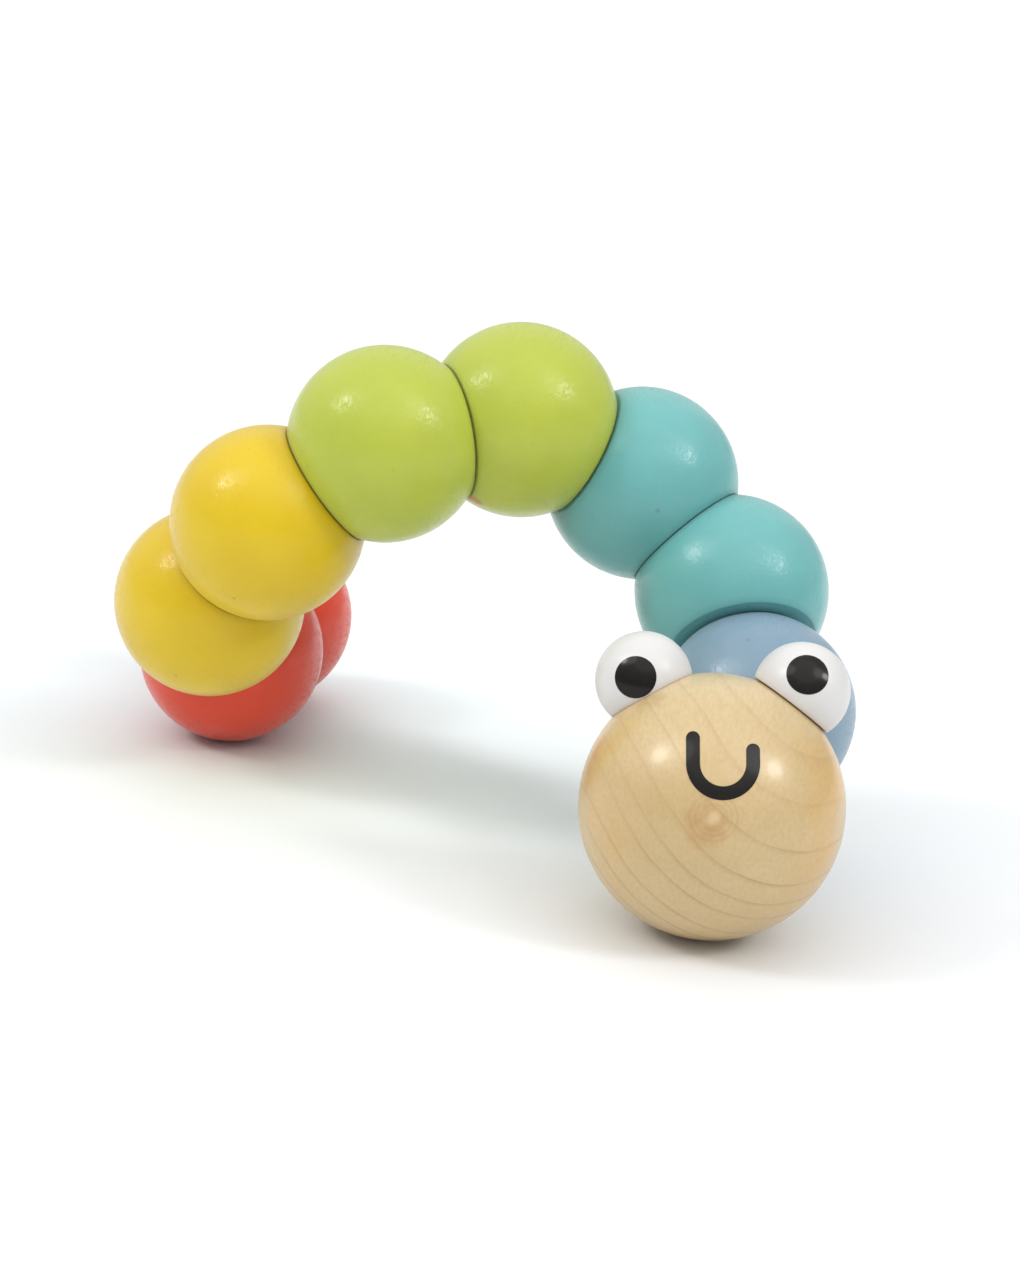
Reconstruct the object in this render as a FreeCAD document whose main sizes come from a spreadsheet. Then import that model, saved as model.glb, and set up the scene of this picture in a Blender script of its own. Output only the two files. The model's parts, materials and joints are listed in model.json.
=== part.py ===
import FreeCAD, Part
import math
import os
import re

import Sketcher

# A wooden twisting worm: nine painted balls and a bare wood head in one chain.
# Every ball is cut by two flats that lean towards each other, and each pair of flats
# turns on a snap-in swivel: a split pin in one ball, in a plain bush in the next.
# Z is up. The worm stands on its tail ball, the ball in front of it and its head,
# the head faces -Y, and the origin is on the floor under the middle of its box.

V = FreeCAD.Vector
DIMENSIONS = [
    ("ball_diameter", 28.0),
    ("face_offset", 10.2),  # centre of a ball to each of its flats
    ("turn_angle", 36.0),  # how far one ball turns the chain: ten of them close a ring
    ("joint_gap", 0.15),  # between the flats of two balls
    ("rim_radius", 0.4),  # rounding where a flat meets the ball
    ("head_diameter", 36.0),
    ("neck_offset", 15.23),  # centre of the head to its flat, as wide as a ball's
    ("neck_roll", 20.0),  # the face is turned this far about its own front
    ("pin_stem_diameter", 6.0),
    ("pin_stem_depth", 7.2),
    ("pin_hole_spare", 0.2),
    ("collar_diameter", 8.0),
    ("collar_thickness", 1.2),
    ("collar_proud", 0.05),
    ("shaft_diameter", 4.9),
    ("catch_diameter", 6.2),
    ("catch_length", 0.8),
    ("nose_length", 1.4),
    ("nose_diameter", 4.2),
    ("catch_play", 0.1),
    ("slot_width", 1.0),
    ("slot_start", 0.8),
    ("bush_diameter", 9.0),
    ("bush_length", 5.05),
    ("bush_bore", 5.0),
    ("bush_proud", 0.05),
    ("bush_chamfer", 0.3),
    ("cavity_diameter", 7.0),
    ("cavity_depth", 8.2),
    ("eye_diameter", 13.2),
    ("eye_seat", 16.9),  # centre of the head to the flat under an eye
    ("eye_centre", 19.35),  # centre of the head to the centre of an eye
    ("left_eye_lift", 0.35),  # the left eye's flat is cut this much shallower
    ("right_eye_lift", 0.0),
    ("eye_spread", 33.0),  # each eye leans this far from upright
    ("dowel_diameter", 3.0),
    ("dowel_length", 8.0),
    ("dowel_spare", 0.3),
    ("pupil_diameter", 5.65),
    ("print_sunk", 0.15),  # how deep the black prints are let into the wood
    ("print_proud", 0.03),
    ("smile_radius", 3.9),
    ("smile_width", 1.8),
    ("smile_side", 0.97),
    ("smile_height", 5.47),
    ("smile_turn", 5.0),
    ("smile_left_arm", 1.7),
    ("smile_right_arm", 3.35),
]
COLOURS = ["red", "red", "yellow", "yellow", "green", "green", "teal", "teal", "blue"]
TWISTS = [0, -54, 2, -18, -46, -40, 3, -18, -60]  # degrees at each swivel, tail first
UNEVEN = {6: 0.3, 8: -1.0}  # seams where one flat is cut deeper, moved towards the head
SIDES = {"left": 1, "right": -1}  # the worm's own left is +X
PUPILS = {"left": (4.7, 18.5), "right": (9.4, -0.2)}  # degrees outwards and up
BEYOND = 4.0  # cutters reach this far past the wood

document = FreeCAD.newDocument("worm")
sheet = document.addObject("Spreadsheet::Sheet", "Dimensions")
for row, (alias, value) in enumerate(DIMENSIONS, start=1):
    sheet.set(f"A{row}", alias)
    sheet.set(f"B{row}", str(value))
    sheet.setAlias(f"B{row}", alias)
document.recompute()
size = dict(DIMENSIONS)


def bound(formula):
    """A formula in the sheet's words, written so that the document can follow it."""
    return re.sub("[a-z_]+", lambda word: f"Dimensions.{word[0]}", formula)


def worked_out(formula):
    """The value of a formula in the sheet's words, as a plain number."""
    return float(sheet.evalExpression(bound(formula)))


def new_body(label, placement):
    body = document.addObject("PartDesign::Body", label)
    body.Label = label
    body.Placement = placement
    return body


def turning_sketch(body, name, yaw="0", pitch="0"):
    """A sketch that holds a turning axis: its own X, turned from the body's X."""
    plane = [f for f in body.Origin.OriginFeatures if f.Role == "XZ_Plane"][0]
    sketch = body.newObject("Sketcher::SketchObject", f"{body.Name}_{name}")
    sketch.AttachmentSupport = [(plane, "")]
    sketch.MapMode = "FlatFace"
    sketch.setExpression("AttachmentOffset.Rotation.Yaw", bound(yaw))
    sketch.setExpression("AttachmentOffset.Rotation.Pitch", bound(pitch))
    return sketch


def hold(sketch, line, end, along, across):
    """Ties a line's end to the sketch's axes by two formulas."""
    for kind, formula, axis in (("DistanceX", along, -2), ("DistanceY", across, -1)):
        distance = worked_out(formula)
        if abs(distance) < 1e-9:
            sketch.addConstraint(Sketcher.Constraint("PointOnObject", line, end, axis))
        else:
            tie = Sketcher.Constraint(kind, -1, 1, line, end, distance)
            index = sketch.addConstraint(tie)
            sketch.setExpression(f"Constraints[{index}]", bound(formula))


def outline(sketch, corners):
    """A closed outline of straight lines through corners given as pairs of formulas."""
    points = [V(worked_out(x), worked_out(y), 0) for x, y in corners]
    ahead = points[1:] + points[:1]
    for start, end in zip(points, ahead):
        sketch.addGeometry(Part.LineSegment(start, end), False)
    count = len(points)
    for k in range(count):
        joined = Sketcher.Constraint("Coincident", k, 2, (k + 1) % count, 1)
        sketch.addConstraint(joined)
    for k, (along, across) in enumerate(corners):
        hold(sketch, k, 1, along, across)


def cap_outline(sketch, radius, start, hole=None):
    """Half of a ball cut off flat at start, with an optional blind hole in the flat.

    The hole is its radius and how far it reaches past the flat.
    """
    base, ball = worked_out(start), worked_out(radius)
    angle = math.acos(base / ball)
    circle = Part.Circle(V(0, 0, 0), V(0, 0, 1), ball)
    arc = sketch.addGeometry(Part.ArcOfCircle(circle, 0, angle), False)
    sketch.addConstraint(Sketcher.Constraint("Coincident", arc, 3, -1, 1))
    index = sketch.addConstraint(Sketcher.Constraint("Radius", arc, ball))
    sketch.setExpression(f"Constraints[{index}]", bound(radius))
    sketch.addConstraint(Sketcher.Constraint("PointOnObject", arc, 1, -1))
    if abs(base + ball) < 1e-9:
        sketch.addConstraint(Sketcher.Constraint("PointOnObject", arc, 2, -1))
        corners = []
    else:
        tie = Sketcher.Constraint("DistanceX", -1, 1, arc, 2, base)
        index = sketch.addConstraint(tie)
        sketch.setExpression(f"Constraints[{index}]", bound(start))
        corners = [(start, "0")]
    if hole:
        width, reach = hole
        corners = [
            (start, width),
            (f"{start} + {reach}", width),
            (f"{start} + {reach}", "0"),
        ]
    rim = V(base, math.sqrt(max(ball * ball - base * base, 0.0)), 0)
    path = [rim] + [V(worked_out(x), worked_out(y), 0) for x, y in corners]
    path.append(V(ball, 0, 0))
    lines = [
        sketch.addGeometry(Part.LineSegment(a, b), False)
        for a, b in zip(path, path[1:])
    ]
    chain = [(arc, 2)] + [(line, 1) for line in lines]
    ends = [(line, 2) for line in lines] + [(arc, 1)]
    sketch.addConstraint(Sketcher.Constraint("Coincident", *chain[0], *chain[1]))
    for k in range(1, len(lines)):
        joined = Sketcher.Constraint("Coincident", *ends[k - 1], *chain[k + 1])
        sketch.addConstraint(joined)
    sketch.addConstraint(Sketcher.Constraint("Coincident", *ends[-2], *ends[-1]))
    for line, (along, across) in zip(lines[1:], corners):
        hold(sketch, line, 1, along, across)


def turned(body, kind, name, sketch):
    """A full turn of the sketch about its own X: a Revolution adds, a Groove cuts."""
    before = body.Shape.Volume if body.Tip else 0.0
    feature = body.newObject(f"PartDesign::{kind}", f"{body.Name}_{name}")
    feature.Profile = sketch
    feature.ReferenceAxis = (sketch, ["H_Axis"])
    feature.Angle = 360.0
    sketch.Visibility = False
    document.recompute()
    change = body.Shape.Volume - before
    if change == 0 or (change < 0) != (kind == "Groove"):
        raise RuntimeError(f"{feature.Name} changed the volume by {change}")
    return feature


def socket_corners(offset):
    """The cut that faces off a ball and bores it for a bush, with room for the catch."""
    return [
        (f"{offset} - cavity_depth", "0"),
        (f"{offset} - cavity_depth", "cavity_diameter / 2"),
        (f"{offset} + bush_proud - bush_length", "cavity_diameter / 2"),
        (f"{offset} + bush_proud - bush_length", "bush_diameter / 2"),
        (offset, "bush_diameter / 2"),
        (offset, f"head_diameter / 2 + {BEYOND}"),
        (f"head_diameter / 2 + {BEYOND}", f"head_diameter / 2 + {BEYOND}"),
        (f"head_diameter / 2 + {BEYOND}", "0"),
    ]


def pin_corners(offset):
    """The cut that faces off a ball and bores it for a pin's collar and stem."""
    return [
        (f"{offset} - pin_stem_depth - pin_hole_spare", "0"),
        (f"{offset} - pin_stem_depth - pin_hole_spare", "pin_stem_diameter / 2"),
        (f"{offset} - collar_thickness", "pin_stem_diameter / 2"),
        (f"{offset} - collar_thickness", "collar_diameter / 2"),
        (offset, "collar_diameter / 2"),
        (offset, f"head_diameter / 2 + {BEYOND}"),
        (f"head_diameter / 2 + {BEYOND}", f"head_diameter / 2 + {BEYOND}"),
        (f"head_diameter / 2 + {BEYOND}", "0"),
    ]


def flat_offset(seam, sign):
    """Centre of a ball to its flat at a seam: sign is 1 on the tail side of the seam."""
    return f"face_offset + ({sign * UNEVEN.get(seam, 0)})"


def round_rims(body, radius, offsets):
    """Rounds the outer edge of the flats at these offsets from the ball's centre."""
    wanted = [math.sqrt(worked_out(f"({radius}) ^ 2 - ({offset}) ^ 2")) for offset in offsets]
    base = body.Tip
    rims = [
        f"Edge{k}"
        for k, edge in enumerate(base.Shape.Edges, start=1)
        if not edge.Degenerated
        and isinstance(edge.Curve, Part.Circle)
        and min(abs(edge.Curve.Radius - rim) for rim in wanted) < 1e-4
    ]
    fillet = body.newObject("PartDesign::Fillet", f"{body.Name}_rims")
    fillet.Base = (base, rims)
    fillet.setExpression("Radius", bound("rim_radius"))
    document.recompute()


def make_ball(label, placement, number):
    """A painted ball: flats on both sides, or on its front only if it is the tail."""
    body = new_body(label, placement)
    blank = turning_sketch(body, "outline")
    cap_outline(blank, "ball_diameter / 2", "-ball_diameter / 2")
    turned(body, "Revolution", "ball", blank)
    offsets = [flat_offset(number, 1)]
    front = turning_sketch(body, "front_cut", yaw="-turn_angle / 2")
    outline(front, pin_corners(offsets[0]))
    turned(body, "Groove", "front", front)
    if number > 1:
        offsets.append(flat_offset(number - 1, -1))
        back = turning_sketch(body, "back_cut", yaw="turn_angle / 2 - 180")
        outline(back, socket_corners(offsets[1]))
        turned(body, "Groove", "back", back)
    round_rims(body, "ball_diameter / 2", offsets)
    return body


def make_pin(label, placement):
    """A split pin: stem, collar, shaft and a barbed nose, slotted so that it can snap."""
    body = new_body(label, placement)
    sketch = turning_sketch(body, "outline")
    shaft_end = "joint_gap + bush_length - bush_proud + catch_play"
    corners = [
        ("-pin_stem_depth", "0"),
        ("-pin_stem_depth", "pin_stem_diameter / 2"),
        ("-collar_thickness", "pin_stem_diameter / 2"),
        ("-collar_thickness", "collar_diameter / 2"),
        ("collar_proud", "collar_diameter / 2"),
        ("collar_proud", "shaft_diameter / 2"),
        (shaft_end, "shaft_diameter / 2"),
        (shaft_end, "catch_diameter / 2"),
        (f"{shaft_end} + catch_length", "catch_diameter / 2"),
        (f"{shaft_end} + catch_length + nose_length", "nose_diameter / 2"),
        (f"{shaft_end} + catch_length + nose_length", "0"),
    ]
    outline(sketch, corners)
    turned(body, "Revolution", "pin", sketch)
    slot = turning_sketch(body, "slot_outline")
    far = f"{shaft_end} + catch_length + nose_length + {BEYOND}"
    slot_corners = [
        ("slot_start", "-slot_width / 2"),
        (far, "-slot_width / 2"),
        (far, "slot_width / 2"),
        ("slot_start", "slot_width / 2"),
    ]
    outline(slot, slot_corners)
    before = body.Shape.Volume
    pocket = body.newObject("PartDesign::Pocket", f"{body.Name}_slot")
    pocket.Profile = slot
    pocket.Type = "ThroughAll"
    pocket.SideType = "Symmetric"
    document.recompute()
    if body.Shape.Volume >= before:
        raise RuntimeError(f"{label} has no slot")
    return body


def make_bush(label, placement):
    """A plain bush with chamfered ends. Its outer end is at the origin, reaching to +X."""
    body = new_body(label, placement)
    sketch = turning_sketch(body, "outline")
    corners = [
        ("0", "bush_bore / 2 + bush_chamfer"),
        ("bush_chamfer", "bush_bore / 2"),
        ("bush_length - bush_chamfer", "bush_bore / 2"),
        ("bush_length", "bush_bore / 2 + bush_chamfer"),
        ("bush_length", "bush_diameter / 2"),
        ("0", "bush_diameter / 2"),
    ]
    outline(sketch, corners)
    turned(body, "Revolution", "bush", sketch)
    return body


def make_dowel(label, placement):
    """A glued wooden dowel along X, with its middle at the origin."""
    dowel = document.addObject("Part::Cylinder", label)
    dowel.Label = label
    dowel.setExpression("Radius", bound("dowel_diameter / 2"))
    dowel.setExpression("Height", bound("dowel_length"))
    along_x = FreeCAD.Rotation(V(0, 0, 1), V(1, 0, 0))
    middle = V(-worked_out("dowel_length") / 2, 0, 0)
    dowel.Placement = placement.multiply(FreeCAD.Placement(middle, along_x))
    return dowel


def print_shell(name, radius, placement):
    """The thin skin of a ball that black paint fills."""
    outer = document.addObject("Part::Sphere", f"{name}_outside")
    outer.setExpression("Radius", bound(f"{radius} + print_proud"))
    inner = document.addObject("Part::Sphere", f"{name}_inside")
    inner.setExpression("Radius", bound(f"{radius} - print_sunk"))
    for ball in (outer, inner):
        ball.Placement = placement
    shell = document.addObject("Part::Cut", f"{name}_shell")
    shell.Base = outer
    shell.Tool = inner
    return shell


def print_on(label, shell, stamp):
    """What the stamp leaves on the shell, as a piece of its own."""
    printed = document.addObject("Part::Common", label)
    printed.Label = label
    printed.Base = shell
    printed.Tool = stamp
    return printed


def let_in(label, blank, printed):
    """The blank with the printed piece's place cut out of it."""
    piece = document.addObject("Part::Cut", label)
    piece.Label = label
    piece.Base = blank
    piece.Tool = printed
    return piece


def make_eye(side, seat, head_turn):
    """A white ball cut off flat where it is glued on, and its round black pupil."""
    blank = new_body(f"{side}_eye_blank", seat)
    sketch = turning_sketch(blank, "outline")
    hole = ("dowel_diameter / 2", "dowel_length / 2 + dowel_spare")
    cap_outline(sketch, "eye_diameter / 2", "eye_seat - eye_centre", hole)
    turned(blank, "Revolution", "ball", sketch)
    outwards, upwards = (math.radians(a) for a in PUPILS[side])
    look = V(
        SIDES[side] * math.sin(outwards) * math.cos(upwards),
        -math.cos(outwards) * math.cos(upwards),
        math.sin(upwards),
    )
    looking = FreeCAD.Rotation(V(0, 0, 1), head_turn.multVec(look))
    stamp = document.addObject("Part::Cylinder", f"{side}_pupil_stamp")
    stamp.setExpression("Radius", bound("pupil_diameter / 2"))
    stamp.setExpression("Height", bound("eye_diameter"))
    stamp.Placement = FreeCAD.Placement(seat.Base, looking)
    shell = print_shell(f"{side}_pupil", "eye_diameter / 2", seat)
    pupil = print_on(f"{side}_pupil", shell, stamp)
    return let_in(f"{side}_eye", blank, pupil), pupil


def smile_outline():
    """A U of one width with round ends, one arm taller than the other, in XY."""
    sketch = document.addObject("Sketcher::SketchObject", "smile_outline")
    middle = worked_out("smile_radius")
    half = worked_out("smile_width") / 2
    left, right = worked_out("smile_left_arm"), worked_out("smile_right_arm")
    up, flat = math.pi, V(0, 0, 1)
    outer, inner = middle + half, middle - half
    pieces = [
        Part.ArcOfCircle(Part.Circle(V(0, 0, 0), flat, outer), up, 2 * up),
        Part.LineSegment(V(outer, 0, 0), V(outer, left, 0)),
        Part.ArcOfCircle(Part.Circle(V(middle, left, 0), flat, half), 0, up),
        Part.LineSegment(V(inner, left, 0), V(inner, 0, 0)),
        Part.ArcOfCircle(Part.Circle(V(0, 0, 0), flat, inner), up, 2 * up),
        Part.LineSegment(V(-inner, 0, 0), V(-inner, right, 0)),
        Part.ArcOfCircle(Part.Circle(V(-middle, right, 0), flat, half), 0, up),
        Part.LineSegment(V(-outer, right, 0), V(-outer, 0, 0)),
    ]
    for piece in pieces:
        sketch.addGeometry(piece, False)
    # each row is an end of one piece and the end of the next that it meets
    meetings = [
        (0, 2, 1, 1),
        (1, 2, 2, 1),
        (2, 2, 3, 1),
        (3, 2, 4, 2),
        (4, 1, 5, 1),
        (5, 2, 6, 1),
        (6, 2, 7, 1),
        (7, 2, 0, 1),
    ]
    for meeting in meetings:
        sketch.addConstraint(Sketcher.Constraint("Coincident", *meeting))
    for arc in (0, 4):
        sketch.addConstraint(Sketcher.Constraint("PointOnObject", arc, 1, -1))
        sketch.addConstraint(Sketcher.Constraint("PointOnObject", arc, 2, -1))
    for cap in (2, 6):
        sketch.addConstraint(Sketcher.Constraint("Horizontal", cap, 1, cap, 3))
        sketch.addConstraint(Sketcher.Constraint("Horizontal", cap, 2, cap, 3))
    for line in (1, 3, 5, 7):
        sketch.addConstraint(Sketcher.Constraint("Vertical", line))
    sketch.addConstraint(Sketcher.Constraint("Coincident", 0, 3, -1, 1))
    sketch.addConstraint(Sketcher.Constraint("Coincident", 4, 3, -1, 1))
    sizes = [
        (Sketcher.Constraint("Radius", 0, outer), "smile_radius + smile_width / 2"),
        (Sketcher.Constraint("Radius", 4, inner), "smile_radius - smile_width / 2"),
        (Sketcher.Constraint("DistanceY", 1, 1, 1, 2, left), "smile_left_arm"),
        (Sketcher.Constraint("DistanceY", 5, 1, 5, 2, right), "smile_right_arm"),
    ]
    for constraint, formula in sizes:
        index = sketch.addConstraint(constraint)
        sketch.setExpression(f"Constraints[{index}]", bound(formula))
    return sketch


def make_head(placement):
    """The head, bored at the neck and under the eyes, and the smile printed on it."""
    blank = new_body("head_blank", placement)
    neck_direction = ("90 - neck_roll", "90 - turn_angle")
    sketch = turning_sketch(blank, "outline", *neck_direction)
    cap_outline(sketch, "head_diameter / 2", "-head_diameter / 2")
    turned(blank, "Revolution", "ball", sketch)
    neck = turning_sketch(blank, "neck_cut", *neck_direction)
    outline(neck, socket_corners("neck_offset"))
    turned(blank, "Groove", "neck", neck)
    for side, sign in SIDES.items():
        flat = f"eye_seat + {side}_eye_lift"
        bottom = f"{flat} - dowel_length / 2 - dowel_spare"
        eye_corners = [
            (bottom, "0"),
            (bottom, "dowel_diameter / 2"),
            (flat, "dowel_diameter / 2"),
            (flat, "eye_diameter"),
            (f"head_diameter / 2 + {BEYOND}", "eye_diameter"),
            (f"head_diameter / 2 + {BEYOND}", "0"),
        ]
        seat = turning_sketch(blank, f"{side}_eye_cut", f"90 - {sign} * eye_spread")
        outline(seat, eye_corners)
        turned(blank, "Groove", f"{side}_eye_seat", seat)
    round_rims(blank, "head_diameter / 2", ["neck_offset"])

    stamp = document.addObject("Part::Extrusion", "smile_stamp")
    stamp.Base = smile_outline()
    stamp.DirMode = "Custom"
    stamp.Dir = placement.Rotation.multVec(V(0, -1, 0))
    stamp.Solid = True
    stamp.setExpression("LengthFwd", bound("head_diameter"))
    upright = FreeCAD.Rotation(V(1, 0, 0), 90)
    tilt = FreeCAD.Rotation(V(0, 1, 0), -worked_out("smile_turn"))
    corner = V(worked_out("smile_side"), 0, worked_out("smile_height"))
    on_face = FreeCAD.Placement(corner, tilt.multiply(upright))
    stamp.Base.Placement = placement.multiply(on_face)
    smile = print_on("smile", print_shell("smile", "head_diameter / 2", placement), stamp)
    return let_in("head", blank, smile), smile


def chain_of_balls():
    """Centres, joint axes and bend normals from the tail, before it is stood up."""
    ball_step = worked_out("2 * face_offset + joint_gap")
    head_step = worked_out("face_offset + neck_offset + joint_gap")
    steps = [ball_step] * (len(COLOURS) - 1) + [head_step]
    centres, axes, normals = [V(0, 0, 0)], [V(1, 0, 0)], [V(0, 1, 0)]
    for twist, step in zip(TWISTS, steps):
        axis = axes[-1]
        normal = FreeCAD.Rotation(axis, twist).multVec(normals[-1])
        centres.append(centres[-1] + axis * step)
        normals.append(normal)
        axes.append(FreeCAD.Rotation(normal, worked_out("turn_angle")).multVec(axis))
    return centres, axes, normals


def unit(vector):
    return V(vector) / vector.Length


def standing_rotation(centres, front):
    """The rotation that stands the chain on its first two balls and its head.

    The floor's upright is square to the line between the first two balls, the head's
    centre is higher than theirs by the difference of the radii, and the head faces -Y.
    """
    along = unit(centres[1] - centres[0])
    reach = centres[-1] - centres[0]
    across = reach - along * reach.dot(along)
    rise = worked_out("(head_diameter - ball_diameter) / 2") / across.Length
    across = unit(across)
    rest = math.sqrt(1 - rise * rise)
    third = along.cross(across)
    choices = [across * rise + third * rest, across * rise - third * rest]
    heights = [sum((c - centres[0]).dot(up) for c in centres) for up in choices]
    up = choices[heights.index(max(heights))]
    back = unit(up * front.dot(up) - front)
    return FreeCAD.Rotation(back.cross(up), back, up, "ZYX").inverted()


def frame_of(x_axis, y_axis):
    return FreeCAD.Rotation(x_axis, y_axis, x_axis.cross(y_axis), "XYZ")


centres, axes, normals = chain_of_balls()
stand = standing_rotation(centres, axes[-1])
floor = stand.multVec(centres[0]).z - size["ball_diameter"] / 2
centres = [stand.multVec(c) - V(0, 0, floor) for c in centres]
axes = [stand.multVec(a) for a in axes]
normals = [stand.multVec(n) for n in normals]

# the box over the floor: the balls that bound it are whole there
radii = [size["ball_diameter"] / 2] * len(COLOURS) + [size["head_diameter"] / 2]
lowest = V(*(min(c[k] - r for c, r in zip(centres, radii)) for k in range(3)))
highest = V(*(max(c[k] + r for c, r in zip(centres, radii)) for k in range(3)))
middle = V((lowest.x + highest.x) / 2, (lowest.y + highest.y) / 2, 0)
centres = [c - middle for c in centres]

pieces = []
half_turn = size["turn_angle"] / 2
for k, colour in enumerate(COLOURS):
    number = k + 1
    normal = normals[k + 1] if k == 0 else normals[k]
    forward = FreeCAD.Rotation(normal, -half_turn).multVec(axes[k])
    ball_place = FreeCAD.Placement(centres[k], frame_of(forward, normal))
    ball = make_ball(f"ball_{number}_{colour}", ball_place, number)
    joint = centres[k] + axes[k] * worked_out(flat_offset(number, 1))
    joint_turn = frame_of(axes[k], normal)
    pin = make_pin(f"swivel_pin_{number}", FreeCAD.Placement(joint, joint_turn))
    mouth = joint + axes[k] * (size["joint_gap"] - size["bush_proud"])
    bush = make_bush(f"swivel_bush_{number}", FreeCAD.Placement(mouth, joint_turn))
    pieces += [ball, pin, bush]

front = axes[-1]
neck = axes[-2]
lean = unit(front * neck.dot(front) - neck)
face_up = FreeCAD.Rotation(front, size["neck_roll"]).multVec(lean)
head_turn = frame_of(face_up.cross(front), front * -1)
pieces += make_head(FreeCAD.Placement(centres[-1], head_turn))

for side, sign in SIDES.items():
    spread = math.radians(size["eye_spread"])
    outwards = head_turn.multVec(V(sign * math.sin(spread), 0, math.cos(spread)))
    eye_turn = FreeCAD.Rotation(V(1, 0, 0), outwards)
    out = {
        point: worked_out(f"{point} + {side}_eye_lift") for point in ("eye_centre", "eye_seat")
    }
    eye_place = FreeCAD.Placement(centres[-1] + outwards * out["eye_centre"], eye_turn)
    pieces += make_eye(side, eye_place, head_turn)
    seat_place = FreeCAD.Placement(centres[-1] + outwards * out["eye_seat"], eye_turn)
    pieces.append(make_dowel(f"{side}_eye_dowel", seat_place))

document.recompute()
for item in document.Objects:
    if "Invalid" in item.State or "Error" in item.State:
        raise RuntimeError(f"{item.Label} is {item.State}")
for piece in pieces:
    if piece.Shape.isNull() or not piece.Shape.isValid():
        raise RuntimeError(f"{piece.Label} has no valid shape")

os.makedirs("parts", exist_ok=True)
for piece in pieces:
    piece.Shape.exportStep(f"parts/{piece.Label}.step")
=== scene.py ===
import json
import math

import bmesh
import bpy
import numpy as np
from mathutils import Matrix, Vector, noise


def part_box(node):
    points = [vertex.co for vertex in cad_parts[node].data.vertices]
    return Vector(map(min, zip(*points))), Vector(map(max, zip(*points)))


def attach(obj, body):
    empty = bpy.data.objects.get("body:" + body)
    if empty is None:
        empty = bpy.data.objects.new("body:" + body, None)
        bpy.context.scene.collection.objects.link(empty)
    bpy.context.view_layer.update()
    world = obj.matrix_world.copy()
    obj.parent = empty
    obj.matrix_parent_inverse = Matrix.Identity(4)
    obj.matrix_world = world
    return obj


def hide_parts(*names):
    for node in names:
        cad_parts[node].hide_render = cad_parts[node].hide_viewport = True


# The looks of a wooden twisting worm: painted balls, a varnished wood head, white eyes.
# Every length is in metres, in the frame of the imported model.

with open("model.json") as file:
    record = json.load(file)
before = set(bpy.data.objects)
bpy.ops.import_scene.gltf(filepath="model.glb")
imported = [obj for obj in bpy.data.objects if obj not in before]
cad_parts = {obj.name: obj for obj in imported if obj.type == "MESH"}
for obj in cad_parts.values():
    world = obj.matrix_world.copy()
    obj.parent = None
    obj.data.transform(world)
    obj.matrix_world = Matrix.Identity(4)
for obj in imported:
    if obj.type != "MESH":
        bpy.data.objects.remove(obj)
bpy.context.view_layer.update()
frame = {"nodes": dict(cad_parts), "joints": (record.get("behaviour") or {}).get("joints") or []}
MM = 0.001

# ---------------------------------------------------------------- sizes of the toy
BALL_RADIUS = 14.0 * MM
HEAD_RADIUS = 18.0 * MM
EYE_RADIUS = 6.6 * MM
FLAT = 10.2 * MM  # centre of a ball to its flats
UNEVEN = {6: 0.3 * MM, 8: -1.0 * MM}  # seams where one flat is deeper, moved towards the head
NECK_FLAT = 15.23 * MM  # centre of the head to its flat
JOINT_GAP = 0.15 * MM
EYE_FLAT = 2.45 * MM  # centre of an eye to its flat
RIM = 0.4 * MM  # rounding of the rims
EYE_RIM = 0.15 * MM
RIM_REACH = 1.5 * MM  # how far wear, grubbiness and painted seam shade reach from a rim

# the holes in the flats, from the outside in, as pairs of radius and depth
BUSH_HOLE = [(4.5 * MM, 0), (4.5 * MM, 5.0 * MM), (3.5 * MM, 5.0 * MM), (3.5 * MM, 8.2 * MM)]
PIN_HOLE = [(4.0 * MM, 0), (4.0 * MM, 1.2 * MM), (3.0 * MM, 1.2 * MM), (3.0 * MM, 7.4 * MM)]
DOWEL_HOLE = [(1.5 * MM, 0), (1.5 * MM, 4.3 * MM)]

COLOURS = ["red", "red", "yellow", "yellow", "green", "green", "teal", "teal", "blue"]

# ---------------------------------------------------------------- how finely it is made
SURFACE_STEP = 0.5 * MM  # side of the quads on the balls and the head
SURFACE_WAVES = 0.035 * MM  # how deep sanding and lacquer leave them uneven
EYE_STEP = 0.3 * MM
EYE_WAVES = 0.01 * MM
RIM_STEPS = 5
FLAT_STEPS = 7
SLIVER = 0.008  # of the radius: points nearer than this along a cut become one
DENTS = 14  # small dents on each piece
CLEAR_OF_FLAT = 0.12  # radians from a flat within which the waves die out
PAINTED, BARE = 0, 1  # material slots of a turned piece: outside, and in its holes

# ---------------------------------------------------------------- where things are
swivels = {joint["name"]: joint for joint in frame["joints"]}
axes = [Vector(swivels[f"swivel_{k}"]["axis"]).normalized() for k in range(1, 10)]
seams = [Vector(swivels[f"swivel_{k}"]["pos_m"]) for k in range(1, 10)]
head_centre = seams[-1] + axes[-1] * (NECK_FLAT + JOINT_GAP / 2)


def flat_offset(seam, sign):
    """Centre of a ball to its flat at a seam: sign is 1 on the tail side of the seam."""
    return FLAT + sign * UNEVEN.get(seam, 0)


ball_centres = [
    seam - axis * (flat_offset(k, 1) + JOINT_GAP / 2)
    for k, (seam, axis) in enumerate(zip(seams, axes), start=1)
]


def middle(node):
    """The middle of a CAD node's box."""
    low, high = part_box(node)
    return (low + high) / 2


# the middle of an eye's dowel is on the flat that the eye is glued to
eye_reach = {side: middle(f"{side}_eye_dowel") - head_centre for side in ("left", "right")}
eye_lines = {side: reach.normalized() for side, reach in eye_reach.items()}
head_side = (eye_lines["left"] - eye_lines["right"]).normalized()
head_up = (eye_lines["left"] + eye_lines["right"]).normalized()
head_front = head_side.cross(head_up)


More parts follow.
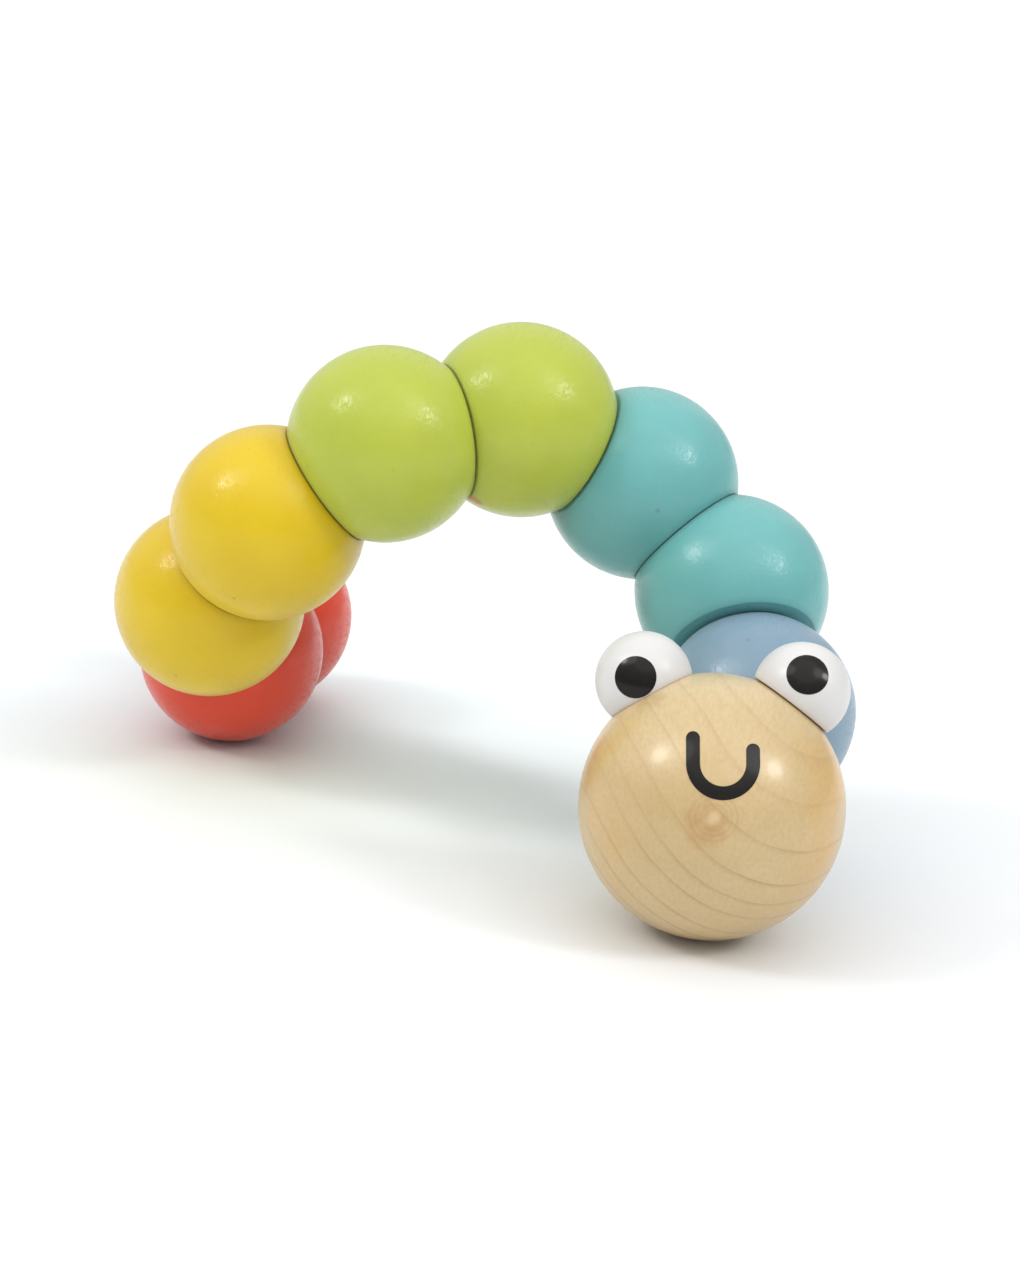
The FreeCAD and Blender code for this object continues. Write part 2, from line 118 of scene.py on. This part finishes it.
# ---------------------------------------------------------------- meshes
def even_ball(radius, step):
    """A ball of even quads: a cube's grid pushed out to the sphere."""
    mesh = bmesh.new()
    count = max(4, round(radius * math.pi / 2 / step))
    bmesh.ops.create_cube(mesh, size=2)
    bmesh.ops.subdivide_edges(mesh, edges=mesh.edges[:], cuts=count - 1, use_grid_fill=True)
    for vert in mesh.verts:
        spread = Vector([math.tan(c * math.pi / 4) for c in vert.co])
        vert.co = spread.normalized() * radius
    return mesh


def ring_frame(axis):
    """Two directions square to the axis."""
    across = axis.orthogonal().normalized()
    return across, axis.cross(across)


def ends(edges):
    """The points of the edges, each once, always in the same order."""
    return list(dict.fromkeys(v for e in edges for v in e.verts))


def cut_flat(mesh, radius, axis, offset, rim, hole):
    """Cuts the ball flat, rounds the new rim, and turns the hole in the flat."""
    start = (offset - rim) * radius / (radius - rim)
    parts = mesh.verts[:] + mesh.edges[:] + mesh.faces[:]
    bmesh.ops.bisect_plane(
        mesh, geom=parts, plane_co=axis * start, plane_no=axis, clear_outer=True
    )
    edges = [e for e in mesh.edges if e.is_boundary]
    bmesh.ops.remove_doubles(mesh, verts=ends(edges), dist=radius * SLIVER)
    edges = [e for e in mesh.edges if e.is_boundary]

    # the profile from the cut inwards: rounded rim, flat, hole, the middle of its bottom
    across, along = ring_frame(axis)
    core_radius = math.sqrt((radius - rim) ** 2 - (offset - rim) ** 2)
    opening = math.atan2(core_radius, offset - rim)
    arc = [opening * (1 - k / RIM_STEPS) for k in range(RIM_STEPS + 1)]
    profile = [
        (core_radius + rim * math.sin(a), offset - rim + rim * math.cos(a), PAINTED) for a in arc
    ]
    flat_radii = np.linspace(core_radius, hole[0][0], FLAT_STEPS + 1)[1:]
    profile += [(r, offset, PAINTED) for r in flat_radii]
    profile += [(wide, offset - deep, BARE) for wide, deep in hole[1:]]
    profile.append((0, offset - hole[-1][1], BARE))

    for k, (wide, height, slot) in enumerate(profile):
        if k > 0:  # the first ring is the edge of the cut
            made = bmesh.ops.extrude_edge_only(mesh, edges=edges)["geom"]
            edges = [g for g in made if isinstance(g, bmesh.types.BMEdge)]
            for face in {f for e in edges for f in e.link_faces}:
                face.material_index = slot
        for vert in ends(edges):
            turn = math.atan2(vert.co.dot(along), vert.co.dot(across))
            outwards = across * math.cos(turn) + along * math.sin(turn)
            vert.co = axis * height + outwards * wide
    bmesh.ops.remove_doubles(mesh, verts=ends(edges), dist=1e-7)


def bumpy(mesh, radius, flats, seed, depth):
    """Takes a little off here and there, as sanding and lacquer leave a ball."""
    rng = np.random.default_rng(seed)
    dents = [
        (Vector(rng.normal(size=3)).normalized(), rng.uniform(0.5, 1.0)) for _ in range(DENTS)
    ]
    shift = Vector(rng.uniform(-50, 50, size=3))
    for vert in mesh.verts:
        if abs(vert.co.length - radius) > radius * 1e-4:
            continue
        way = vert.co.normalized()
        clear = 1.0
        for axis, offset in flats:
            reach = math.acos(min(1.0, offset / radius))
            gap = way.angle(axis) - reach
            clear = min(clear, max(0.0, gap / CLEAR_OF_FLAT))
        eased = clear * clear * (3 - 2 * clear)
        waves = noise.noise(way * 1.7 + shift) * 0.6 + noise.noise(way * 4.5 + shift) * 0.3
        dip = 0.55 + waves
        for spot, size in dents:
            away = way.angle(spot) / (0.05 * size)
            dip += 0.5 * size * math.exp(-away * away)
        vert.co -= way * depth * max(0.0, dip) * eased


def turned_piece(
    name, centre, radius, cuts, materials, seed, step=SURFACE_STEP, depth=SURFACE_WAVES
):
    """A ball with flats and holes as a piece, its origin at the ball's centre.

    Each cut is the flat's direction, its offset, the rim's rounding and the hole's steps.
    """
    mesh = even_ball(radius, step)
    for axis, offset, rim, hole in cuts:
        cut_flat(mesh, radius, axis, offset, rim, hole)
    bumpy(mesh, radius, [(axis, offset) for axis, offset, _, _ in cuts], seed, depth)
    bmesh.ops.recalc_face_normals(mesh, faces=mesh.faces[:])
    data = bpy.data.meshes.new(name)
    mesh.to_mesh(data)
    mesh.free()
    data.polygons.foreach_set("use_smooth", [True] * len(data.polygons))
    data.set_sharp_from_angle(angle=math.radians(40))
    mark_rims(data, radius, cuts)
    for material in materials:
        data.materials.append(material)
    piece = bpy.data.objects.new(name, data)
    piece.location = centre
    bpy.context.scene.collection.objects.link(piece)
    return piece


def mark_rims(data, radius, cuts):
    """Stores how near each point is to a rim: 1 on it, and 0 from RIM_REACH away."""
    points = np.empty(len(data.vertices) * 3)
    data.vertices.foreach_get("co", points)
    points = points.reshape(-1, 3)
    near = np.zeros(len(points))
    for axis, offset, _, _ in cuts:
        height = points @ np.array(axis)
        wide = np.sqrt(np.maximum((points**2).sum(axis=1) - height**2, 0))
        rim_radius = math.sqrt(radius**2 - offset**2)
        distance = np.hypot(height - offset, wide - rim_radius)
        on_flat = (np.abs(height - offset) < 0.01 * MM) & (wide < rim_radius)
        distance[on_flat] *= 3  # little of it shows on the flat itself
        near = np.maximum(near, np.clip(1 - distance / RIM_REACH, 0, 1))
    stored = data.attributes.new("rim", "FLOAT", "POINT")
    stored.data.foreach_set("value", near.astype(np.float32))


# ---------------------------------------------------------------- shader helpers
class Shader:
    """A material whose nodes are added one call at a time."""

    def __init__(self, name):
        self.material = bpy.data.materials.new(name)
        self.material.use_nodes = True
        self.tree = self.material.node_tree
        self.surface = self.tree.nodes["Principled BSDF"]

    def put(self, socket, value):
        """Links a socket to a node's output, or sets it to a value."""
        if isinstance(value, bpy.types.NodeSocket):
            self.tree.links.new(value, socket)
        else:
            socket.default_value = value

    def add(self, kind, inputs=(), output=0, **settings):
        """A node with its settings and inputs; gives back one of its outputs."""
        made = self.tree.nodes.new(kind)
        for key, value in settings.items():
            setattr(made, key, value)
        for key, value in dict(inputs).items():
            self.put(made.inputs[key], value)
        return made.outputs[output]

    def place(self):
        """Where a point is in its own piece, in metres: it stays put when the piece moves."""
        return self.add("ShaderNodeTexCoord", output="Object")

    def rim(self):
        """How near a point is to a rim, as mark_rims stored it."""
        return self.add("ShaderNodeAttribute", output="Fac", attribute_name="rim")

    def stretch(self, where, scale, turn=(0, 0, 0)):
        """A place scaled by its own amount along each axis, for grain and scratches."""
        inputs = {"Vector": where, "Scale": scale, "Rotation": turn}
        return self.add("ShaderNodeMapping", inputs)

    def cloud(self, where, scale, detail=3.0, roughness=0.5, seed=0.0):
        """Soft noise, around 0.5."""
        inputs = {
            "Vector": where,
            "W": seed,
            "Scale": scale,
            "Detail": detail,
            "Roughness": roughness,
        }
        return self.add("ShaderNodeTexNoise", inputs, noise_dimensions="4D")

    def drift(self, where, scale, detail, seed, reach):
        """A cloud as a length between -reach and reach."""
        cloud = self.cloud(where, scale, detail=detail, seed=seed)
        return self.span(cloud, 0.0, 1.0, -reach, reach)

    def vector(self, operation, a, b=(0, 0, 0)):
        """Vector maths: a length, distance or dot product comes out as a number."""
        output = 1 if operation in ("LENGTH", "DISTANCE", "DOT_PRODUCT") else 0
        return self.add("ShaderNodeVectorMath", {0: a, 1: b}, output=output, operation=operation)

    def maths(self, operation, a, b=0.0):
        return self.add("ShaderNodeMath", {0: a, 1: b}, operation=operation)

    def span(self, value, low, high, to_low=0.0, to_high=1.0):
        """Turns low..high into to_low..to_high and stops at both ends."""
        inputs = {
            "Value": value,
            "From Min": low,
            "From Max": high,
            "To Min": to_low,
            "To Max": to_high,
        }
        return self.add("ShaderNodeMapRange", inputs)

    def mix(self, factor, a, b):
        """One colour towards another."""
        return self.add("ShaderNodeMix", {0: factor, 6: a, 7: b}, output=2, data_type="RGBA")

    def bump(self, height, distance, strength, below=None):
        """Relief as a normal, on top of the relief below."""
        inputs = {"Height": height, "Distance": distance, "Strength": strength}
        if below:
            inputs["Normal"] = below
        return self.add("ShaderNodeBump", inputs)

    def set(self, **inputs):
        """Puts values or outputs into the surface; gives back the finished material."""
        for key, value in inputs.items():
            self.put(self.surface.inputs[key.replace("_", " ")], value)
        return self.material


def tint(red, green, blue):
    """A colour given as linear light."""
    return (red, green, blue, 1.0)


def darker(colour, share):
    """A colour with only a share of its light."""
    return tint(*[part * share for part in colour[:3]])


# ---------------------------------------------------------------- materials
CHIP = (-0.36, -0.53, -0.77)  # under the seam of the two green balls, on ball_6


def lacquer(name, colour, deep, seed, seam_shade=0.0, haze=0.14, chip=None):
    """Satin lacquer brushed on turned wood: faint grain under it, a few nibs and scuffs.

    The seam shade sets how dark its rims are painted, as shade in the seams, and haze is the pale
    bloom seen along its edges. Where it is chipped is a direction from the ball's centre.
    """
    shader = Shader(name)
    where = shader.place()

    # colour: two tones in patches, darker towards the rims as painted seam shade and as lacquer
    # pooling there, worn and chipped
    patches = shader.cloud(where, 90.0, detail=3.0, seed=seed)
    tone = shader.mix(shader.span(patches, 0.3, 0.7), colour, deep)
    rim = shader.rim()
    # darker by the rims: partly lacquer pooling there, partly painted shade of the seams
    pooling_and_shade = shader.span(rim, 0.3, 0.75, 0.0, 0.3)
    tone = shader.mix(pooling_and_shade, tone, darker(deep, 0.72))
    # painted shade: a thin dark band at the rims, where the seams fall into shade
    rim_shade = shader.span(rim, 0.78, 0.94, 0.0, seam_shade)
    tone = shader.mix(rim_shade, tone, darker(deep, 0.22))
    rubbed = shader.cloud(where, 330.0, detail=2.0, seed=seed + 4)
    worn = shader.maths("MULTIPLY", shader.span(rim, 0.7, 0.9), shader.span(rubbed, 0.71, 0.76))
    if chip:
        from_chip = shader.vector("DISTANCE", where, Vector(chip) * BALL_RADIUS)
        ragged = shader.span(rubbed, 0.0, 1.0, -0.5 * MM, 0.5 * MM)
        from_chip = shader.maths("ADD", from_chip, ragged)
        worn = shader.maths("MAXIMUM", worn, shader.span(from_chip, 1.5 * MM, 1.0 * MM))
    tone = shader.mix(worn, tone, tint(0.50, 0.26, 0.04))

    # nibs: grains of dust under the lacquer
    cells = {"Vector": where, "Scale": 330.0, "Randomness": 1.0}
    nibs = shader.add("ShaderNodeTexVoronoi", cells, output="Distance")
    rare = shader.span(shader.cloud(where, 210.0, detail=0.0, seed=seed + 5), 0.66, 0.7)
    nib = shader.maths("MULTIPLY", shader.span(nibs, 0.16, 0.05), rare)
    tone = shader.mix(shader.maths("MULTIPLY", nib, 0.3), tone, tint(0.12, 0.09, 0.05))

    # relief: waves, brushed grain and nibs in the paint, scuffs only in the clear coat
    brushed = shader.stretch(where, (2300.0, 600.0, 2300.0), (0.4, 0.2, 0.9))
    grain = shader.cloud(brushed, 1.0, detail=2.0, seed=seed)
    scratches = shader.stretch(where, (2600.0, 420.0, 1500.0), (0.9, 0.5, 0.3))
    scratched = shader.cloud(scratches, 1.0, detail=2.0, seed=seed + 6)
    handled = shader.span(shader.cloud(where, 120.0, detail=2.0, seed=seed + 7), 0.38, 0.54)
    scuff = shader.maths("MULTIPLY", shader.span(scratched, 0.53, 0.6), handled)
    peel = shader.cloud(where, 520.0, detail=1.5, seed=seed + 1)
    swell = shader.cloud(where, 170.0, detail=1.0, seed=seed + 2)
    skin = shader.bump(swell, 0.30 * MM, 0.5)
    skin = shader.bump(peel, 0.07 * MM, 0.5, skin)
    skin = shader.bump(grain, 0.03 * MM, 0.7, skin)
    skin = shader.bump(nib, 0.05 * MM, 0.6, skin)
    gloss = shader.bump(grain, 0.04 * MM, 0.8, skin)
    gloss = shader.bump(scuff, -0.10 * MM, 0.9, gloss)
    dull = shader.span(shader.cloud(where, 60.0, detail=4.0, seed=seed + 3), 0.25, 0.75, 0.32, 0.42)
    dull = shader.maths("ADD", dull, shader.maths("MULTIPLY", scuff, 0.2))
    return shader.set(
        Base_Color=tone, Roughness=dull, Normal=skin, Specular_IOR_Level=0.22,
        Coat_Weight=0.45, Coat_Roughness=0.20, Coat_Normal=gloss,
        Sheen_Weight=haze, Sheen_Roughness=0.35,
    )


# The heart of the tree beside the head: a point of it and its direction, from the head's
# centre in the head's own side, front and up. The rings round it cross the face as thin lines.
TREE_POINT = (-12.0, -5.0, -21.1)  # mm
TREE_WAY = (0.841, -0.373, -0.392)
RINGS = [8.6, 11.9, 15.2, 18.5, 22.7, 25.6, 28.8, 32.9, 37.1, 40.5]  # mm, radii
RING_FADE = 0.9 * MM  # each line grows darker over this width
RING_STOP = 0.15 * MM  # and then ends within this one
PIP = (0.33, 17.92, -1.63)  # mm: where the lathe held the nose
STAIN = (-0.6, 17.7, -2.8)  # mm: the middle of the brown round it


def on_head(side, front, up):
    """A direction or a length given in the head's own side, front and up."""
    return head_side * side + head_front * front + head_up * up


def varnished_maple():
    """Pale wood with thin growth lines and a pip at the nose, under clear varnish."""
    shader = Shader("maple_varnished")
    where = shader.place()

    # growth lines, by how far a point is from the heart of the tree
    way = on_head(*TREE_WAY).normalized()
    point = on_head(*TREE_POINT) * MM
    across = shader.vector("CROSS_PRODUCT", shader.vector("SUBTRACT", where, point), way)
    radius = shader.vector("LENGTH", across)
    bent = shader.drift(where, 75.0, 1.0, 8.0, 0.6 * MM)
    ragged = shader.drift(where, 900.0, 2.0, 9.0, 0.12 * MM)
    radius = shader.maths("ADD", radius, shader.maths("ADD", bent, ragged))
    lines = 0.0
    for ring in RINGS:
        edge = ring * MM
        fade = shader.span(radius, edge - RING_FADE, edge)
        stop = shader.span(radius, edge, edge + RING_STOP, 1.0, 0.0)
        line = shader.maths("MULTIPLY", shader.maths("POWER", fade, 2.5), stop)
        lines = shader.maths("MAXIMUM", line, lines)

    # wood: pale, with painted light making it creamy on top and painted warm light at the sides,
    # with fibres and the growth lines
    pale = shader.cloud(where, 70.0, detail=3.0, seed=1.0)
    light, dark = tint(0.64, 0.48, 0.25), tint(0.565, 0.405, 0.185)
    tone = shader.mix(shader.span(pale, 0.3, 0.7), light, dark)
    upwards = shader.vector("DOT_PRODUCT", where, head_up)
    # painted light: paler and creamier towards the top, where the light falls
    painted_top_light = shader.span(upwards, 6.0 * MM, 16.0 * MM, 0.0, 0.7)
    tone = shader.mix(painted_top_light, tone, tint(0.68, 0.54, 0.32))
    # painted light: warm amber patches towards the sides, for the warm light along the head's edges
    sideways = shader.vector("DOT_PRODUCT", where, head_side)
    outer = shader.span(shader.maths("ABSOLUTE", sideways), 9.0 * MM, 17.5 * MM)
    patchy = shader.span(shader.cloud(where, 110.0, seed=2.0), 0.40, 0.6)
    painted_warm_sides = shader.maths("MULTIPLY", outer, patchy)
    tone = shader.mix(shader.maths("MULTIPLY", painted_warm_sides, 0.75), tone, tint(0.68, 0.40, 0.11))
    fibre_place = shader.stretch(where, (2000.0, 600.0, 1500.0), (0.5, 0.1, 0.3))
    fibre = shader.cloud(fibre_place, 1.0, detail=3.0, roughness=0.7, seed=3.0)
    tone = shader.mix(shader.span(fibre, 0.42, 0.68, 0.0, 0.33), tone, tint(0.47, 0.30, 0.125))
    strength = shader.span(shader.cloud(where, 130.0, seed=4.0), 0.3, 0.65, 0.3, 0.85)
    fainter = shader.span(upwards, -10.0 * MM, 1.0 * MM, 1.0, 0.4)
    strength = shader.maths("MULTIPLY", strength, fainter)
    tone = shader.mix(shader.maths("MULTIPLY", lines, strength), tone, tint(0.42, 0.25, 0.095))

    # the nose: a pale pip with lathe marks round it in a brown stain
    wander = shader.drift(where, 420.0, 3.0, 5.0, 0.9 * MM)
    from_stain = shader.vector("DISTANCE", where, on_head(*STAIN) * MM)
    from_stain = shader.maths("ADD", from_stain, wander)
    around = shader.span(from_stain, 2.0 * MM, 3.7 * MM, 1.0, 0.0)
    blotch = shader.span(shader.cloud(where, 520.0, detail=3.0, seed=6.0), 0.35, 0.6, 0.2, 0.55)
    tone = shader.mix(shader.maths("MULTIPLY", around, blotch), tone, tint(0.47, 0.25, 0.085))
    from_pip = shader.vector("DISTANCE", where, on_head(*PIP) * MM)
    for turning in (1.7, 2.4, 3.1):
        off_line = shader.maths("ABSOLUTE", shader.maths("SUBTRACT", from_pip, turning * MM))
        mark = shader.span(off_line, 0.05 * MM, 0.28 * MM, 0.4, 0.0)
        tone = shader.mix(shader.maths("MULTIPLY", mark, blotch), tone, tint(0.40, 0.20, 0.065))
    spot = shader.span(shader.maths("ADD", from_pip, wander), 0.5 * MM, 1.3 * MM, 0.7, 0.0)
    tone = shader.mix(spot, tone, tint(0.72, 0.54, 0.31))
    # painted shade: darker towards the rims, where the eyes and the blue ball meet the head
    rim_shade = shader.span(shader.rim(), 0.45, 0.95, 0.0, 0.45)
    tone = shader.mix(rim_shade, tone, tint(0.36, 0.20, 0.08))

    skin = shader.bump(shader.cloud(where, 150.0, detail=1.0), 0.35 * MM, 0.5)
    skin = shader.bump(fibre, 0.03 * MM, 0.4, skin)
    skin = shader.bump(lines, -0.02 * MM, 0.5, skin)
    dull = shader.span(shader.cloud(where, 80.0, detail=4.0, seed=7.0), 0.25, 0.75, 0.32, 0.42)
    return shader.set(
        Base_Color=tone, Roughness=dull, Normal=skin, IOR=1.5,
        Coat_Weight=0.4, Coat_Roughness=0.18,
    )


def white_enamel():
    """White enamel, a little uneven, that has gone grubby at its rim."""
    shader = Shader("paint_white")
    where = shader.place()
    soft = shader.cloud(where, 120.0, detail=2.0)
    tone = shader.mix(soft, tint(0.72, 0.715, 0.71), tint(0.69, 0.68, 0.67))
    by_rim = shader.span(shader.rim(), 0.5, 1.0)
    grubby = shader.maths("MULTIPLY", by_rim, shader.cloud(where, 500.0, seed=2.0))
    tone = shader.mix(shader.maths("MULTIPLY", grubby, 0.5), tone, tint(0.52, 0.42, 0.30))
    skin = shader.bump(shader.cloud(where, 400.0, detail=1.0), 0.05 * MM, 0.5)
    dull = shader.span(shader.cloud(where, 150.0, detail=3.0, seed=3.0), 0.3, 0.7, 0.34, 0.44)
    return shader.set(
        Base_Color=tone, Roughness=dull, Normal=skin, IOR=1.45,
        Coat_Weight=0.15, Coat_Roughness=0.25,
    )


def black_print():
    """Satin black print that is thin in places."""
    shader = Shader("print_black")
    where = shader.place()
    soft = shader.cloud(where, 300.0, detail=3.0)
    tone = shader.mix(soft, tint(0.007, 0.006, 0.005), tint(0.014, 0.012, 0.010))
    dull = shader.span(soft, 0.3, 0.7, 0.22, 0.32)
    skin = shader.bump(shader.cloud(where, 900.0, detail=2.0), 0.02 * MM, 0.5)
    return shader.set(
        Base_Color=tone, Roughness=dull, Normal=skin, Specular_IOR_Level=0.1,
        Coat_Weight=0.3, Coat_Roughness=0.14,
    )


def moulded(name, light, dark):
    """Dull moulded plastic."""
    shader = Shader(name)
    where = shader.place()
    soft = shader.cloud(where, 260.0, detail=3.0)
    skin = shader.bump(shader.cloud(where, 2500.0, detail=2.0), 0.01 * MM, 0.5)
    return shader.set(Base_Color=shader.mix(soft, light, dark), Roughness=0.42, Normal=skin)


def bare_wood():
    """Unpainted wood, inside the holes and on the dowels."""
    shader = Shader("beech_bare")
    where = shader.place()
    grain = shader.cloud(shader.stretch(where, (1400.0, 1400.0, 160.0)), 1.0, 3.0)
    tone = shader.mix(grain, tint(0.70, 0.52, 0.33), tint(0.52, 0.35, 0.20))
    return shader.set(Base_Color=tone, Roughness=0.7, Normal=shader.bump(grain, 0.04 * MM, 0.6))


beech = bare_wood()
maple = varnished_maple()
enamel = white_enamel()
ink = black_print()
acetal = moulded("acetal_white", tint(0.86, 0.86, 0.84), tint(0.80, 0.80, 0.78))
nylon = moulded("nylon_natural", tint(0.80, 0.76, 0.66), tint(0.74, 0.69, 0.58))
PAINTS = {
    "red": lacquer("paint_red", tint(0.77, 0.062, 0.024), tint(0.70, 0.053, 0.021), 1.0),
    "yellow": lacquer(
        "paint_yellow", tint(0.75, 0.53, 0.007), tint(0.69, 0.475, 0.006), 2.0, seam_shade=0.1
    ),
    "green": lacquer(
        "paint_green", tint(0.485, 0.555, 0.062), tint(0.435, 0.505, 0.055), 3.0,
        seam_shade=0.6, haze=0.24, chip=CHIP,
    ),
    "teal": lacquer(
        "paint_teal", tint(0.155, 0.455, 0.445), tint(0.135, 0.41, 0.405), 4.0, haze=0.24
    ),
    "blue": lacquer(
        "paint_blue", tint(0.22, 0.335, 0.435), tint(0.195, 0.295, 0.39), 5.0, haze=0.16
    ),
}


# ---------------------------------------------------------------- pieces
def make_balls():
    """The nine painted balls, from the tail to the neck."""
    for k, (colour, centre) in enumerate(zip(COLOURS, ball_centres), start=1):
        cuts = [(axes[k - 1], flat_offset(k, 1), RIM, PIN_HOLE)]
        if k > 1:
            cuts.append((-axes[k - 2], flat_offset(k - 1, -1), RIM, BUSH_HOLE))
        node = f"ball_{k}_{colour}"
        materials = [PAINTS[colour], beech]
        piece = turned_piece(f"turned_{node}", centre, BALL_RADIUS, cuts, materials, 40 + k)
        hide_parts(node)
        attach(piece, f"segment_{k}")


def make_head():
    """The varnished head, with a flat on the neck and one under each eye."""
    cuts = [(-axes[-1], NECK_FLAT, RIM, BUSH_HOLE)]
    for side, line in eye_lines.items():
        cuts.append((line, eye_reach[side].length, EYE_RIM, DOWEL_HOLE))
    piece = turned_piece("turned_head", head_centre, HEAD_RADIUS, cuts, [maple, beech], 60)
    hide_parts("head")
    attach(piece, "head")


def make_eyes():
    """The two white eyes, each flat where it is glued on."""
    for seed, (side, line) in enumerate(eye_lines.items(), start=70):
        centre = head_centre + eye_reach[side] + line * EYE_FLAT
        cuts = [(-line, EYE_FLAT, EYE_RIM, DOWEL_HOLE)]
        name = f"turned_{side}_eye"
        materials = [enamel, beech]
        piece = turned_piece(name, centre, EYE_RADIUS, cuts, materials, seed, EYE_STEP, EYE_WAVES)
        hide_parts(f"{side}_eye")
        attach(piece, "head")


def finish_cad(nodes, material):
    """Gives CAD nodes that keep their own shape a better material."""
    for node in nodes:
        shape = frame["nodes"][node]
        shape.data.materials.clear()
        shape.data.materials.append(material)


make_balls()
make_head()
make_eyes()
finish_cad([f"swivel_pin_{k}" for k in range(1, 10)], acetal)
finish_cad([f"swivel_bush_{k}" for k in range(1, 10)], nylon)
finish_cad(["left_eye_dowel", "right_eye_dowel"], beech)
finish_cad(["left_pupil", "right_pupil", "smile"], ink)

# ---------------------------------------------------------------- camera
AZIMUTH = math.radians(-3.822)  # which way it looks, from +Y towards +X
PITCH = math.radians(16.314)  # downwards
ROLL = math.radians(5.828)
DISTANCE = 0.48646
TARGET = Vector((0.00438, -0.00233, 0.02740))
LENS = 94.77  # for a 36 mm side along the longer side of the picture

level = Vector((math.sin(AZIMUTH), math.cos(AZIMUTH), 0))
look = level * math.cos(PITCH) - Vector((0, 0, math.sin(PITCH)))
upright = look.to_track_quat("-Z", "Y").to_matrix()
camera_data = bpy.data.cameras.new("camera")
camera_data.lens = LENS
camera_data.sensor_width = 36.0
camera_data.clip_start = 0.01
camera = bpy.data.objects.new("camera", camera_data)
camera.rotation_euler = (upright @ Matrix.Rotation(ROLL, 3, "Z")).to_euler()
camera.location = TARGET - look * DISTANCE
bpy.context.scene.collection.objects.link(camera)
bpy.context.scene.camera = camera


# ---------------------------------------------------------------- light
def soft_light(name, azimuth, elevation, width, strength):
    """Soft light from one side of the sky, as wide as its angle.

    Its azimuth is from the side that the head faces, towards +X.
    """
    turn, lift = math.radians(azimuth), math.radians(elevation)
    flat_way = Vector((math.sin(turn), -math.cos(turn), 0))
    away = flat_way * math.cos(lift) + Vector((0, 0, math.sin(lift)))
    data = bpy.data.lights.new(name, "SUN")
    data.angle = math.radians(width)
    data.energy = strength
    lamp = bpy.data.objects.new(name, data)
    lamp.location = away
    lamp.rotation_euler = (-away).to_track_quat("-Z", "Y").to_euler()
    bpy.context.scene.collection.objects.link(lamp)


for side, sign in (("left", -1), ("right", 1)):
    soft_light(f"softbox_{side}_low", sign * 73.0, 41.0, 13.0, 0.62)
    soft_light(f"softbox_{side}_high", sign * 59.0, 53.0, 24.0, 0.28)
soft_light("softbox_top", 10.0, 64.0, 60.0, 0.44)
soft_light("backdrop", 215.0, 28.0, 110.0, 0.50)

SKY_LOW, SKY_HIGH = 0.28, 0.95  # brightness at the horizon and overhead
world = bpy.data.worlds.new("studio")
world.use_nodes = True
sky = world.node_tree
direction = sky.nodes.new("ShaderNodeTexCoord")
parts = sky.nodes.new("ShaderNodeSeparateXYZ")
brightness = sky.nodes.new("ShaderNodeMapRange")
brightness.inputs["To Min"].default_value = SKY_LOW
brightness.inputs["To Max"].default_value = SKY_HIGH
background = sky.nodes["Background"]
background.inputs["Color"].default_value = tint(1.0, 1.0, 1.0)
sky.links.new(direction.outputs["Generated"], parts.inputs[0])
sky.links.new(parts.outputs["Z"], brightness.inputs["Value"])
sky.links.new(brightness.outputs[0], background.inputs["Strength"])
bpy.context.scene.world = world
bpy.context.scene.view_settings.view_transform = "Standard"


# ---------------------------------------------------------------- floor
TAIL_GLOW_REACH = 80.0 * MM  # how far the red light from the tail shows on the floor


def pale_floor():
    """A plain pale floor, toned by the tail against the red light that it throws there."""
    shader = Shader("floor")
    where = shader.place()
    tail = ball_centres[0].lerp(ball_centres[1], 0.5)
    from_tail = shader.vector("DISTANCE", where, Vector((tail.x, tail.y, 0)))
    near = shader.maths("POWER", shader.span(from_tail, 0.0, TAIL_GLOW_REACH, 1.0, 0.0), 1.5)
    tone = shader.mix(near, tint(0.83, 0.845, 0.86), tint(0.74, 0.875, 0.895))
    return shader.set(Base_Color=tone, Roughness=0.9)


bpy.ops.mesh.primitive_circle_add(vertices=96, radius=4.0, fill_type="NGON", location=(0, 0, 0))
floor = bpy.context.object
floor.name = "floor"
floor.data.materials.append(pale_floor())
